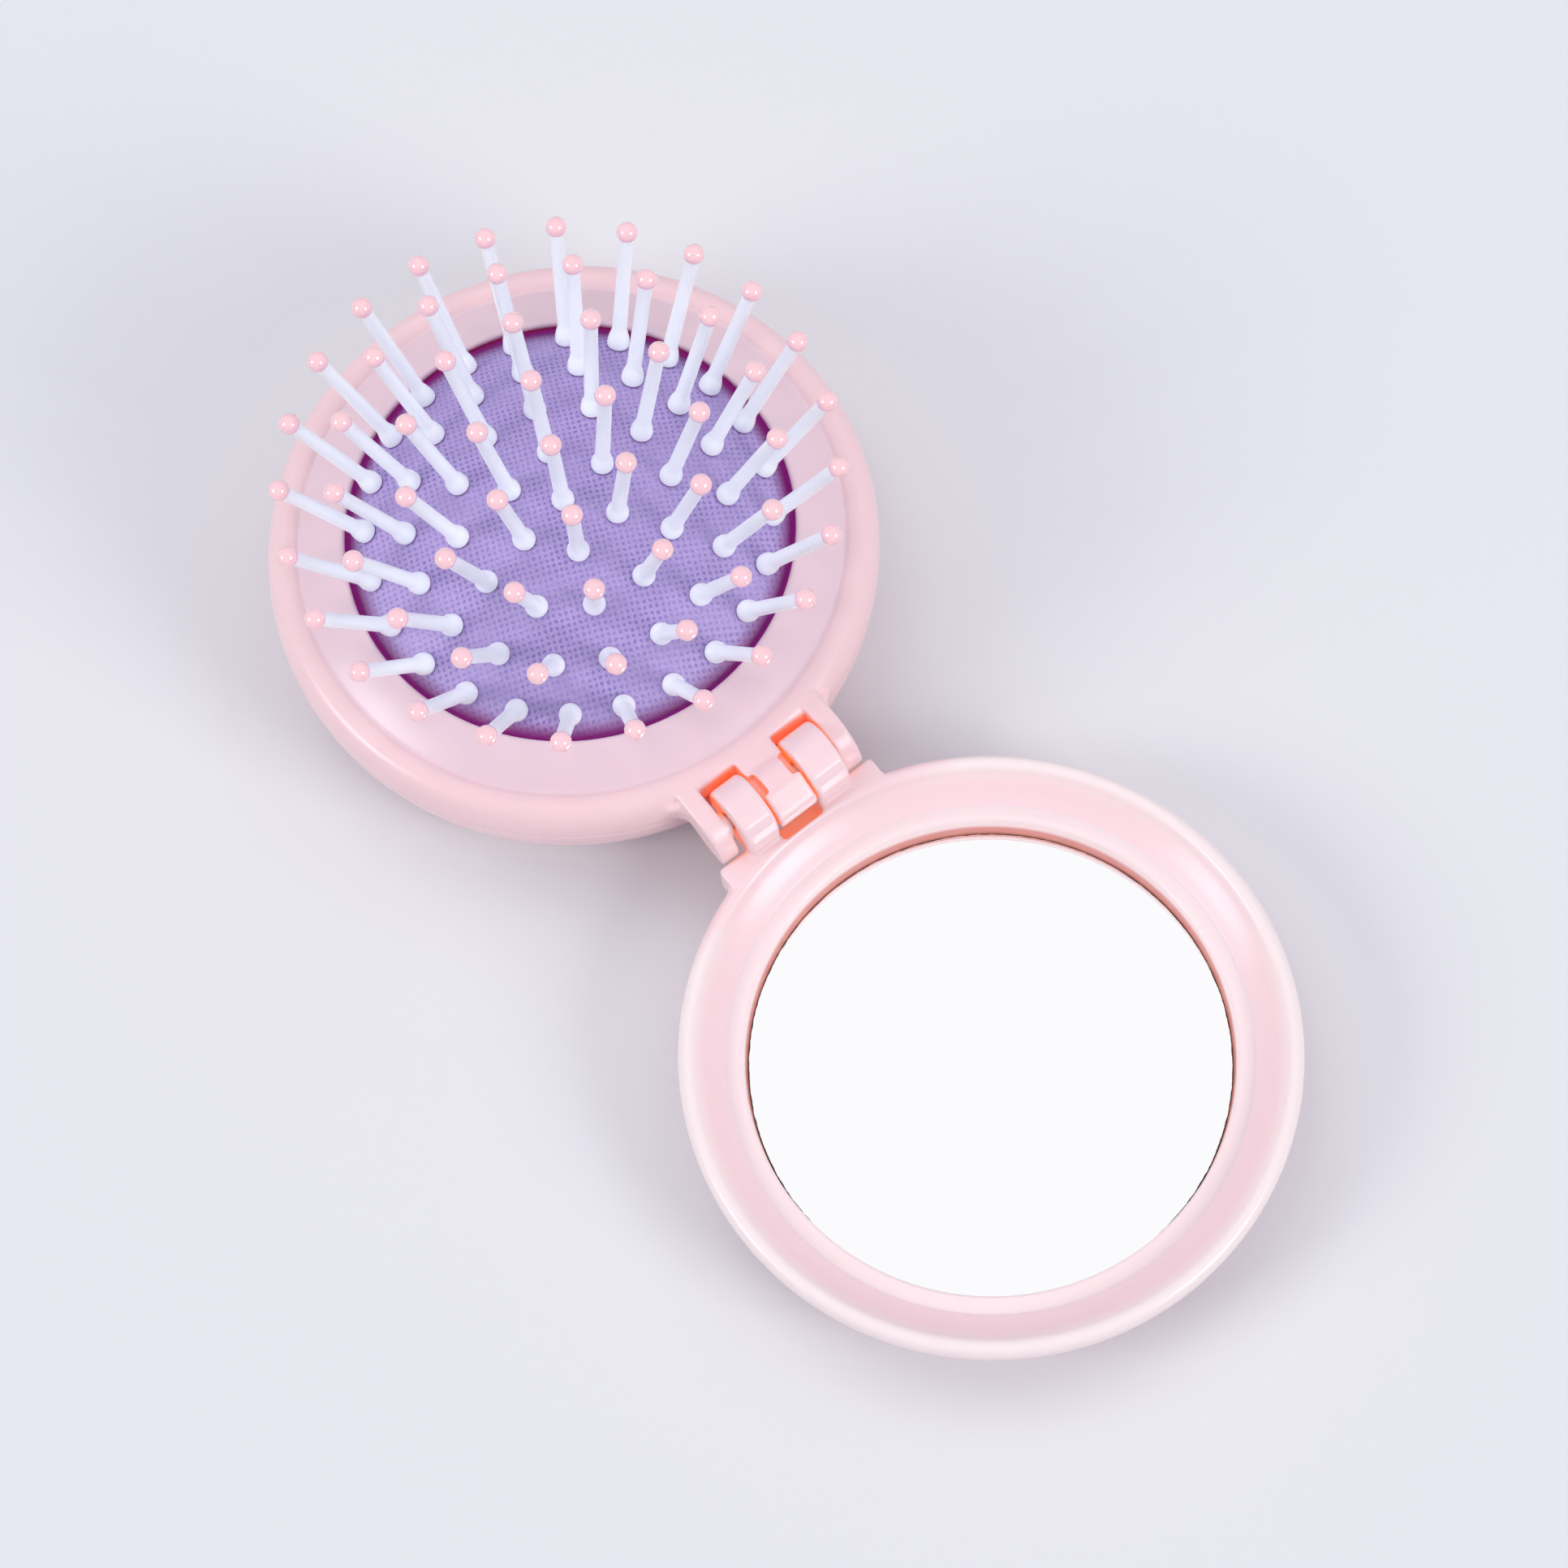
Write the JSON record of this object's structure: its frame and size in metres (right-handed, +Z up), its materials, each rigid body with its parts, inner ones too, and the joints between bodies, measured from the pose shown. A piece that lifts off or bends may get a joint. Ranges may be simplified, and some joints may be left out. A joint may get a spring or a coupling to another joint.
{
  "type": "pocket mirror comb",
  "caption": "Round folding compact, open flat: a domed rubber cushion with ball-tipped pins in one half and a framed mirror in the lid, joined by an interlocking pin hinge.",
  "frame": {"origin": "on the table, under the middle of the open compact's outline", "axes": "+X from the brush half to the mirror lid, +Y along the hinge pin, +Z up out of the pins"},
  "size_m": [0.1434, 0.0692, 0.0414],
  "materials": {
    "pink_plastic": "glossy moulded ABS, pale pink",
    "purple_rubber": "matt cast rubber, lilac",
    "white_nylon": "satin nylon, milky white with pink ball tips",
    "inner_plastic": "satin moulded ABS",
    "steel": "ground steel",
    "silvered_glass": "float glass silvered on its back",
    "foam_tape": "closed-cell foam tape, adhesive on both faces"
  },
  "bodies": {
    "brush_half": {"brush_front_frame": "pink_plastic", "brush_back_shell": "pink_plastic", "cushion_pad": "purple_rubber", "retaining_ring": "inner_plastic", "hinge_pin": "steel"},
    "lid_half": {"lid_shell": "pink_plastic", "mirror_bezel_ring": "pink_plastic", "mirror_glass": "silvered_glass", "mirror_tape": "foam_tape"},
    "pins_centre": {"pins_centre": "white_nylon"},
    "pin_pair_1": {"pin_pair_1": "white_nylon"},
    "pin_pair_2": {"pin_pair_2": "white_nylon"},
    "pin_pair_3": {"pin_pair_3": "white_nylon"},
    "pin_pair_4": {"pin_pair_4": "white_nylon"},
    "pin_pair_5": {"pin_pair_5": "white_nylon"},
    "pin_pair_6": {"pin_pair_6": "white_nylon"},
    "pin_3_01": {"pin_3_01": "white_nylon"},
    "pin_3_02": {"pin_3_02": "white_nylon"},
    "pin_3_03": {"pin_3_03": "white_nylon"},
    "pin_3_04": {"pin_3_04": "white_nylon"},
    "pin_3_05": {"pin_3_05": "white_nylon"},
    "pin_3_06": {"pin_3_06": "white_nylon"},
    "pin_3_07": {"pin_3_07": "white_nylon"},
    "pin_3_08": {"pin_3_08": "white_nylon"},
    "pin_3_09": {"pin_3_09": "white_nylon"},
    "pin_3_10": {"pin_3_10": "white_nylon"},
    "pin_3_11": {"pin_3_11": "white_nylon"},
    "pin_3_12": {"pin_3_12": "white_nylon"},
    "pin_3_13": {"pin_3_13": "white_nylon"},
    "pin_3_14": {"pin_3_14": "white_nylon"},
    "pin_3_15": {"pin_3_15": "white_nylon"},
    "pin_3_16": {"pin_3_16": "white_nylon"},
    "pin_3_17": {"pin_3_17": "white_nylon"},
    "pin_3_18": {"pin_3_18": "white_nylon"},
    "pin_4_01": {"pin_4_01": "white_nylon"},
    "pin_4_02": {"pin_4_02": "white_nylon"},
    "pin_4_03": {"pin_4_03": "white_nylon"},
    "pin_4_04": {"pin_4_04": "white_nylon"},
    "pin_4_05": {"pin_4_05": "white_nylon"},
    "pin_4_06": {"pin_4_06": "white_nylon"},
    "pin_4_07": {"pin_4_07": "white_nylon"},
    "pin_4_08": {"pin_4_08": "white_nylon"},
    "pin_4_09": {"pin_4_09": "white_nylon"},
    "pin_4_10": {"pin_4_10": "white_nylon"},
    "pin_4_11": {"pin_4_11": "white_nylon"},
    "pin_4_12": {"pin_4_12": "white_nylon"},
    "pin_4_13": {"pin_4_13": "white_nylon"},
    "pin_4_14": {"pin_4_14": "white_nylon"},
    "pin_4_15": {"pin_4_15": "white_nylon"},
    "pin_4_16": {"pin_4_16": "white_nylon"},
    "pin_4_17": {"pin_4_17": "white_nylon"},
    "pin_4_18": {"pin_4_18": "white_nylon"},
    "pin_4_19": {"pin_4_19": "white_nylon"},
    "pin_4_20": {"pin_4_20": "white_nylon"},
    "pin_4_21": {"pin_4_21": "white_nylon"},
    "pin_4_22": {"pin_4_22": "white_nylon"},
    "pin_4_23": {"pin_4_23": "white_nylon"},
    "pin_4_24": {"pin_4_24": "white_nylon"}
  },
  "joints": [
    {"name": "lid_hinge", "type": "hinge", "parent": "brush_half", "child": "lid_half", "pos_m": [0.0003, 0, 0.0136], "axis": [0, -1, 0], "range_deg": [0, 180], "deforming": ["cushion_pad"]},
    {"name": "pins_centre_press", "type": "slide", "parent": "brush_half", "child": "pins_centre", "axis": [0, 0, -1], "range_m": [0, 0.02049]},
    {"name": "pin_pair_1_tilt", "type": "hinge", "parent": "brush_half", "child": "pin_pair_1", "pos_m": [0.00814, 0.06117, 0.0138], "axis": [0.8039, -0.5948, 0], "range_deg": [0, 16.7]},
    {"name": "pin_pair_2_tilt", "type": "hinge", "parent": "brush_half", "child": "pin_pair_2", "pos_m": [-0.06748, 0.06979, 0.0138], "axis": [0.9171, 0.3987, 0], "range_deg": [0, 16.7]},
    {"name": "pin_pair_3_tilt", "type": "hinge", "parent": "brush_half", "child": "pin_pair_3", "pos_m": [-0.11274, 0.00861, 0.0138], "axis": [0.1132, 0.9936, 0], "range_deg": [0, 16.7]},
    {"name": "pin_pair_4_tilt", "type": "hinge", "parent": "brush_half", "child": "pin_pair_4", "pos_m": [-0.0824, -0.06117, 0.0138], "axis": [-0.8039, 0.5948, 0], "range_deg": [0, 16.7]},
    {"name": "pin_pair_5_tilt", "type": "hinge", "parent": "brush_half", "child": "pin_pair_5", "pos_m": [-0.00678, -0.06979, 0.0138], "axis": [-0.9171, -0.3987, 0], "range_deg": [0, 16.7]},
    {"name": "pin_pair_6_tilt", "type": "hinge", "parent": "brush_half", "child": "pin_pair_6", "pos_m": [0.03848, -0.00861, 0.0138], "axis": [-0.1132, -0.9936, 0], "range_deg": [0, 16.7]},
    {"name": "pin_3_01_tilt", "type": "hinge", "parent": "brush_half", "child": "pin_3_01", "pos_m": [0.00673, 0.03489, 0.01259], "axis": [0.6225, -0.7826, 0], "range_deg": [0, 25.02]},
    {"name": "pin_3_02_tilt", "type": "hinge", "parent": "brush_half", "child": "pin_3_02", "pos_m": [-0.00785, 0.04779, 0.01259], "axis": [0.8526, -0.5225, 0], "range_deg": [0, 25.02]},
    {"name": "pin_3_03_tilt", "type": "hinge", "parent": "brush_half", "child": "pin_3_03", "pos_m": [-0.02596, 0.05492, 0.01259], "axis": [0.9799, -0.1994, 0], "range_deg": [0, 25.02]},
    {"name": "pin_3_04_tilt", "type": "hinge", "parent": "brush_half", "child": "pin_3_04", "pos_m": [-0.04541, 0.05543, 0.01259], "axis": [0.989, 0.1478, 0], "range_deg": [0, 25.02]},
    {"name": "pin_3_05_tilt", "type": "hinge", "parent": "brush_half", "child": "pin_3_05", "pos_m": [-0.06387, 0.04925, 0.01259], "axis": [0.8788, 0.4772, 0], "range_deg": [0, 25.02]},
    {"name": "pin_3_06_tilt", "type": "hinge", "parent": "brush_half", "child": "pin_3_06", "pos_m": [-0.0791, 0.03714, 0.01259], "axis": [0.6626, 0.749, 0], "range_deg": [0, 25.02]},
    {"name": "pin_3_07_tilt", "type": "hinge", "parent": "brush_half", "child": "pin_3_07", "pos_m": [-0.08927, 0.02054, 0.01259], "axis": [0.3665, 0.9304, 0], "range_deg": [0, 25.02]},
    {"name": "pin_3_08_tilt", "type": "hinge", "parent": "brush_half", "child": "pin_3_08", "pos_m": [-0.09316, 0.00147, 0.01259], "axis": [0.0262, 0.9997, 0], "range_deg": [0, 25.02]},
    {"name": "pin_3_09_tilt", "type": "hinge", "parent": "brush_half", "child": "pin_3_09", "pos_m": [-0.09028, -0.01778, 0.01259], "axis": [-0.3173, 0.9483, 0], "range_deg": [0, 25.02]},
    {"name": "pin_3_10_tilt", "type": "hinge", "parent": "brush_half", "child": "pin_3_10", "pos_m": [-0.08099, -0.03489, 0.01259], "axis": [-0.6225, 0.7826, 0], "range_deg": [0, 25.02]},
    {"name": "pin_3_11_tilt", "type": "hinge", "parent": "brush_half", "child": "pin_3_11", "pos_m": [-0.06641, -0.04779, 0.01259], "axis": [-0.8526, 0.5225, 0], "range_deg": [0, 25.02]},
    {"name": "pin_3_12_tilt", "type": "hinge", "parent": "brush_half", "child": "pin_3_12", "pos_m": [-0.0483, -0.05492, 0.01259], "axis": [-0.9799, 0.1994, 0], "range_deg": [0, 25.02]},
    {"name": "pin_3_13_tilt", "type": "hinge", "parent": "brush_half", "child": "pin_3_13", "pos_m": [-0.02885, -0.05543, 0.01259], "axis": [-0.989, -0.1478, 0], "range_deg": [0, 25.02]},
    {"name": "pin_3_14_tilt", "type": "hinge", "parent": "brush_half", "child": "pin_3_14", "pos_m": [-0.01039, -0.04925, 0.01259], "axis": [-0.8788, -0.4772, 0], "range_deg": [0, 25.02]},
    {"name": "pin_3_15_tilt", "type": "hinge", "parent": "brush_half", "child": "pin_3_15", "pos_m": [0.00484, -0.03714, 0.01259], "axis": [-0.6626, -0.749, 0], "range_deg": [0, 25.02]},
    {"name": "pin_3_16_tilt", "type": "hinge", "parent": "brush_half", "child": "pin_3_16", "pos_m": [0.01501, -0.02054, 0.01259], "axis": [-0.3665, -0.9304, 0], "range_deg": [0, 25.02]},
    {"name": "pin_3_17_tilt", "type": "hinge", "parent": "brush_half", "child": "pin_3_17", "pos_m": [0.0189, -0.00147, 0.01259], "axis": [-0.0262, -0.9997, 0], "range_deg": [0, 25.02]},
    {"name": "pin_3_18_tilt", "type": "hinge", "parent": "brush_half", "child": "pin_3_18", "pos_m": [0.01602, 0.01778, 0.01259], "axis": [0.3173, -0.9483, 0], "range_deg": [0, 25.02]},
    {"name": "pin_4_01_tilt", "type": "hinge", "parent": "brush_half", "child": "pin_4_01", "pos_m": [0.00026, 0.02974, 0.01115], "axis": [0.6225, -0.7826, 0], "range_deg": [0, 32.38]},
    {"name": "pin_4_02_tilt", "type": "hinge", "parent": "brush_half", "child": "pin_4_02", "pos_m": [-0.00871, 0.0384, 0.01115], "axis": [0.8039, -0.5948, 0], "range_deg": [0, 32.38]},
    {"name": "pin_4_03_tilt", "type": "hinge", "parent": "brush_half", "child": "pin_4_03", "pos_m": [-0.01962, 0.04445, 0.01115], "axis": [0.9304, -0.3665, 0], "range_deg": [0, 32.38]},
    {"name": "pin_4_04_tilt", "type": "hinge", "parent": "brush_half", "child": "pin_4_04", "pos_m": [-0.03172, 0.04747, 0.01115], "axis": [0.9936, -0.1132, 0], "range_deg": [0, 32.38]},
    {"name": "pin_4_05_tilt", "type": "hinge", "parent": "brush_half", "child": "pin_4_05", "pos_m": [-0.04419, 0.04725, 0.01115], "axis": [0.989, 0.1478, 0], "range_deg": [0, 32.38]},
    {"name": "pin_4_06_tilt", "type": "hinge", "parent": "brush_half", "child": "pin_4_06", "pos_m": [-0.05618, 0.04381, 0.01115], "axis": [0.9171, 0.3987, 0], "range_deg": [0, 32.38]},
    {"name": "pin_4_07_tilt", "type": "hinge", "parent": "brush_half", "child": "pin_4_07", "pos_m": [-0.06687, 0.03739, 0.01115], "axis": [0.7826, 0.6225, 0], "range_deg": [0, 32.38]},
    {"name": "pin_4_08_tilt", "type": "hinge", "parent": "brush_half", "child": "pin_4_08", "pos_m": [-0.07553, 0.02842, 0.01115], "axis": [0.5948, 0.8039, 0], "range_deg": [0, 32.38]},
    {"name": "pin_4_09_tilt", "type": "hinge", "parent": "brush_half", "child": "pin_4_09", "pos_m": [-0.08158, 0.01751, 0.01115], "axis": [0.3665, 0.9304, 0], "range_deg": [0, 32.38]},
    {"name": "pin_4_10_tilt", "type": "hinge", "parent": "brush_half", "child": "pin_4_10", "pos_m": [-0.0846, 0.00541, 0.01115], "axis": [0.1132, 0.9936, 0], "range_deg": [0, 32.38]},
    {"name": "pin_4_11_tilt", "type": "hinge", "parent": "brush_half", "child": "pin_4_11", "pos_m": [-0.08438, -0.00706, 0.01115], "axis": [-0.1478, 0.989, 0], "range_deg": [0, 32.38]},
    {"name": "pin_4_12_tilt", "type": "hinge", "parent": "brush_half", "child": "pin_4_12", "pos_m": [-0.08094, -0.01905, 0.01115], "axis": [-0.3987, 0.9171, 0], "range_deg": [0, 32.38]},
    {"name": "pin_4_13_tilt", "type": "hinge", "parent": "brush_half", "child": "pin_4_13", "pos_m": [-0.07452, -0.02974, 0.01115], "axis": [-0.6225, 0.7826, 0], "range_deg": [0, 32.38]},
    {"name": "pin_4_14_tilt", "type": "hinge", "parent": "brush_half", "child": "pin_4_14", "pos_m": [-0.06555, -0.0384, 0.01115], "axis": [-0.8039, 0.5948, 0], "range_deg": [0, 32.38]},
    {"name": "pin_4_15_tilt", "type": "hinge", "parent": "brush_half", "child": "pin_4_15", "pos_m": [-0.05464, -0.04445, 0.01115], "axis": [-0.9304, 0.3665, 0], "range_deg": [0, 32.38]},
    {"name": "pin_4_16_tilt", "type": "hinge", "parent": "brush_half", "child": "pin_4_16", "pos_m": [-0.04254, -0.04747, 0.01115], "axis": [-0.9936, 0.1132, 0], "range_deg": [0, 32.38]},
    {"name": "pin_4_17_tilt", "type": "hinge", "parent": "brush_half", "child": "pin_4_17", "pos_m": [-0.03007, -0.04725, 0.01115], "axis": [-0.989, -0.1478, 0], "range_deg": [0, 32.38]},
    {"name": "pin_4_18_tilt", "type": "hinge", "parent": "brush_half", "child": "pin_4_18", "pos_m": [-0.01808, -0.04381, 0.01115], "axis": [-0.9171, -0.3987, 0], "range_deg": [0, 32.38]},
    {"name": "pin_4_19_tilt", "type": "hinge", "parent": "brush_half", "child": "pin_4_19", "pos_m": [-0.00739, -0.03739, 0.01115], "axis": [-0.7826, -0.6225, 0], "range_deg": [0, 32.38]},
    {"name": "pin_4_20_tilt", "type": "hinge", "parent": "brush_half", "child": "pin_4_20", "pos_m": [0.00127, -0.02842, 0.01115], "axis": [-0.5948, -0.8039, 0], "range_deg": [0, 32.38]},
    {"name": "pin_4_21_tilt", "type": "hinge", "parent": "brush_half", "child": "pin_4_21", "pos_m": [0.00732, -0.01751, 0.01115], "axis": [-0.3665, -0.9304, 0], "range_deg": [0, 32.38]},
    {"name": "pin_4_22_tilt", "type": "hinge", "parent": "brush_half", "child": "pin_4_22", "pos_m": [0.01034, -0.00541, 0.01115], "axis": [-0.1132, -0.9936, 0], "range_deg": [0, 32.38]},
    {"name": "pin_4_23_tilt", "type": "hinge", "parent": "brush_half", "child": "pin_4_23", "pos_m": [0.01012, 0.00706, 0.01115], "axis": [0.1478, -0.989, 0], "range_deg": [0, 32.38]},
    {"name": "pin_4_24_tilt", "type": "hinge", "parent": "brush_half", "child": "pin_4_24", "pos_m": [0.00668, 0.01905, 0.01115], "axis": [0.3987, -0.9171, 0], "range_deg": [0, 32.38]}
  ],
  "couplings": [
    {"joint": "pins_centre_press", "follows": "lid_hinge", "m_per_rad": 0.006523},
    {"joint": "pin_pair_1_tilt", "follows": "lid_hinge", "ratio": 0.09277},
    {"joint": "pin_pair_2_tilt", "follows": "lid_hinge", "ratio": 0.09277},
    {"joint": "pin_pair_3_tilt", "follows": "lid_hinge", "ratio": 0.09277},
    {"joint": "pin_pair_4_tilt", "follows": "lid_hinge", "ratio": 0.09277},
    {"joint": "pin_pair_5_tilt", "follows": "lid_hinge", "ratio": 0.09277},
    {"joint": "pin_pair_6_tilt", "follows": "lid_hinge", "ratio": 0.09277},
    {"joint": "pin_3_01_tilt", "follows": "lid_hinge", "ratio": 0.13898},
    {"joint": "pin_3_02_tilt", "follows": "lid_hinge", "ratio": 0.13898},
    {"joint": "pin_3_03_tilt", "follows": "lid_hinge", "ratio": 0.13898},
    {"joint": "pin_3_04_tilt", "follows": "lid_hinge", "ratio": 0.13898},
    {"joint": "pin_3_05_tilt", "follows": "lid_hinge", "ratio": 0.13898},
    {"joint": "pin_3_06_tilt", "follows": "lid_hinge", "ratio": 0.13898},
    {"joint": "pin_3_07_tilt", "follows": "lid_hinge", "ratio": 0.13898},
    {"joint": "pin_3_08_tilt", "follows": "lid_hinge", "ratio": 0.13898},
    {"joint": "pin_3_09_tilt", "follows": "lid_hinge", "ratio": 0.13898},
    {"joint": "pin_3_10_tilt", "follows": "lid_hinge", "ratio": 0.13898},
    {"joint": "pin_3_11_tilt", "follows": "lid_hinge", "ratio": 0.13898},
    {"joint": "pin_3_12_tilt", "follows": "lid_hinge", "ratio": 0.13898},
    {"joint": "pin_3_13_tilt", "follows": "lid_hinge", "ratio": 0.13898},
    {"joint": "pin_3_14_tilt", "follows": "lid_hinge", "ratio": 0.13898},
    {"joint": "pin_3_15_tilt", "follows": "lid_hinge", "ratio": 0.13898},
    {"joint": "pin_3_16_tilt", "follows": "lid_hinge", "ratio": 0.13898},
    {"joint": "pin_3_17_tilt", "follows": "lid_hinge", "ratio": 0.13898},
    {"joint": "pin_3_18_tilt", "follows": "lid_hinge", "ratio": 0.13898},
    {"joint": "pin_4_01_tilt", "follows": "lid_hinge", "ratio": 0.17988},
    {"joint": "pin_4_02_tilt", "follows": "lid_hinge", "ratio": 0.17988},
    {"joint": "pin_4_03_tilt", "follows": "lid_hinge", "ratio": 0.17988},
    {"joint": "pin_4_04_tilt", "follows": "lid_hinge", "ratio": 0.17988},
    {"joint": "pin_4_05_tilt", "follows": "lid_hinge", "ratio": 0.17988},
    {"joint": "pin_4_06_tilt", "follows": "lid_hinge", "ratio": 0.17988},
    {"joint": "pin_4_07_tilt", "follows": "lid_hinge", "ratio": 0.17988},
    {"joint": "pin_4_08_tilt", "follows": "lid_hinge", "ratio": 0.17988},
    {"joint": "pin_4_09_tilt", "follows": "lid_hinge", "ratio": 0.17988},
    {"joint": "pin_4_10_tilt", "follows": "lid_hinge", "ratio": 0.17988},
    {"joint": "pin_4_11_tilt", "follows": "lid_hinge", "ratio": 0.17988},
    {"joint": "pin_4_12_tilt", "follows": "lid_hinge", "ratio": 0.17988},
    {"joint": "pin_4_13_tilt", "follows": "lid_hinge", "ratio": 0.17988},
    {"joint": "pin_4_14_tilt", "follows": "lid_hinge", "ratio": 0.17988},
    {"joint": "pin_4_15_tilt", "follows": "lid_hinge", "ratio": 0.17988},
    {"joint": "pin_4_16_tilt", "follows": "lid_hinge", "ratio": 0.17988},
    {"joint": "pin_4_17_tilt", "follows": "lid_hinge", "ratio": 0.17988},
    {"joint": "pin_4_18_tilt", "follows": "lid_hinge", "ratio": 0.17988},
    {"joint": "pin_4_19_tilt", "follows": "lid_hinge", "ratio": 0.17988},
    {"joint": "pin_4_20_tilt", "follows": "lid_hinge", "ratio": 0.17988},
    {"joint": "pin_4_21_tilt", "follows": "lid_hinge", "ratio": 0.17988},
    {"joint": "pin_4_22_tilt", "follows": "lid_hinge", "ratio": 0.17988},
    {"joint": "pin_4_23_tilt", "follows": "lid_hinge", "ratio": 0.17988},
    {"joint": "pin_4_24_tilt", "follows": "lid_hinge", "ratio": 0.17988}
  ]
}
